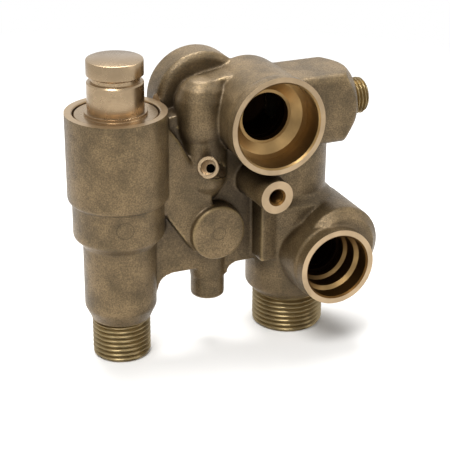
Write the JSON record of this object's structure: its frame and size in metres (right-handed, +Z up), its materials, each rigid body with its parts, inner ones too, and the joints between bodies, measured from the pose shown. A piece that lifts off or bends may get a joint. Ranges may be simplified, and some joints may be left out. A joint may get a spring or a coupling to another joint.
{
  "type": "diverter valve",
  "caption": "Flow-operated brass diverter valve with two threaded legs, push-in ports, a closed sensor neck and a sprung spool.",
  "frame": {"origin": "centre of the left threaded leg's lower end", "axes": "+Z up along the left leg, from its thread to the closed neck; +X from the left leg to the right leg; -Y is the front, where the two large push-in ports open"},
  "size_m": [0.1089, 0.0475, 0.1108],
  "materials": {
    "cast_brass": "as-cast brass, shot-blasted grain",
    "turned_brass": "turned brass with fine tool marks",
    "seal_rubber": "moulded EPDM",
    "guide_plastic": "moulded acetal",
    "spring_steel": "stainless spring wire",
    "stainless_steel": "turned stainless steel",
    "magnet_ferrite": "sintered ferrite"
  },
  "bodies": {
    "housing": {"valve_body": "cast_brass", "gland": "turned_brass", "gland_o_ring": "seal_rubber", "guide_bush": "guide_plastic", "lower_seat": "turned_brass", "upper_seat": "turned_brass", "lower_seat_o_ring": "seal_rubber", "upper_seat_o_ring": "seal_rubber", "seat_cage": "guide_plastic", "snap_ring": "spring_steel", "lower_guide": "guide_plastic", "return_spring": "spring_steel", "sensing_nipple": "turned_brass"},
    "spool": {"stem": "stainless_steel", "lower_disc": "seal_rubber", "lower_disc_plate": "turned_brass", "spacer_sleeve": "turned_brass", "upper_disc_plate": "turned_brass", "upper_disc": "seal_rubber", "stem_clips": "spring_steel", "spring_seat": "stainless_steel", "magnet": "magnet_ferrite"}
  },
  "joints": [
    {"name": "spool_slide", "type": "slide", "parent": "housing", "child": "spool", "axis": [0, 0, 1], "range_m": [0, 0.0038], "stiffness_N_per_m": 1080, "springref_m": -0.008, "deforming": ["return_spring"]}
  ]
}
